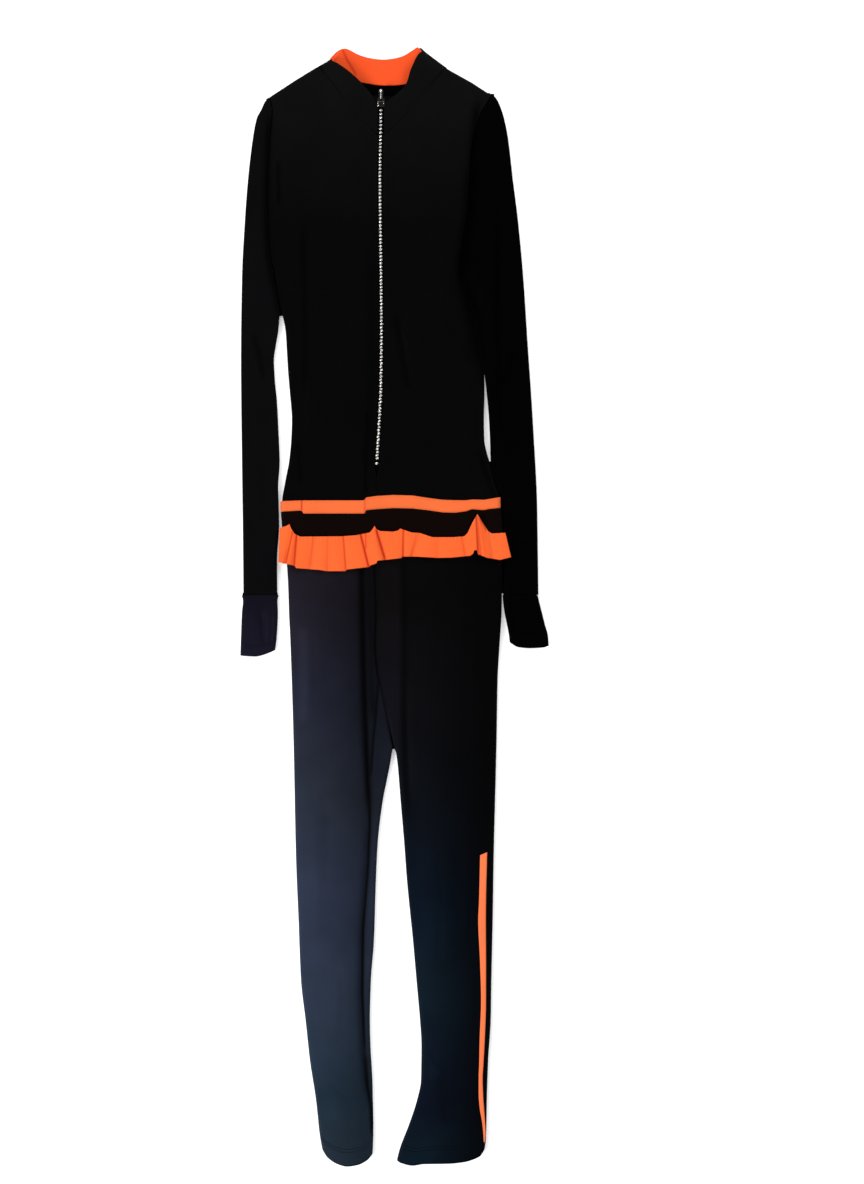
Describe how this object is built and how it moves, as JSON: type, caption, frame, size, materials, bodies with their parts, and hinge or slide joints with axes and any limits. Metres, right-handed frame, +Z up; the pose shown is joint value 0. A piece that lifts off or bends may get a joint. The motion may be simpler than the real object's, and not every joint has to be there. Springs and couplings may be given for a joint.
{
  "type": "figure skating catsuit",
  "caption": "One-piece long-sleeved stretch skating suit with stand collar, front zip, contrast hip band and frill, and long legs, laid flat face up.",
  "frame": {"origin": "on the surface it lies on, under the middle of the whole garment", "axes": "+Y towards the collar, +Z up out of the front, +X towards the wearer's left side"},
  "size_m": [0.3269, 1.1849, 0.0148],
  "materials": {
    "black_knit": "matte satin stretch knit, near black",
    "slate_knit": "matte satin stretch knit, blue black",
    "orange_knit": "matte satin stretch knit, bright orange",
    "facing_knit": "matte satin stretch knit, red orange",
    "zip_tape": "fine woven tape, black",
    "crystal": "faceted clear stones in bright settings",
    "silver": "polished, set with stones"
  },
  "bodies": {
    "garment": {"bodice_back": "black_knit", "bodice_front_right": "black_knit", "bodice_front_left": "black_knit", "leg_back_right": "slate_knit", "leg_back_left": "slate_knit", "leg_front_right": "slate_knit", "leg_front_left": "slate_knit", "sleeve_right": "black_knit", "sleeve_left": "black_knit", "cuff_right": "black_knit", "cuff_left": "black_knit", "collar_outer": "black_knit", "collar_facing": "facing_knit", "hip_band_front": "orange_knit", "hip_band_back": "orange_knit", "peplum_front": "black_knit", "peplum_back": "black_knit", "frill_front": "orange_knit", "frill_back": "orange_knit", "leg_stripe": "orange_knit", "zip_tape": "zip_tape", "zip_chain": "crystal", "zip_slider": "silver"},
    "zip_pull": {"zip_pull": "silver"}
  },
  "joints": [
    {"name": "zip_pull_hinge", "type": "hinge", "parent": "garment", "child": "zip_pull", "pos_m": [-0.0143, 0.5335, 0.0117], "axis": [1, 0, 0], "range_deg": [0, 175]}
  ]
}
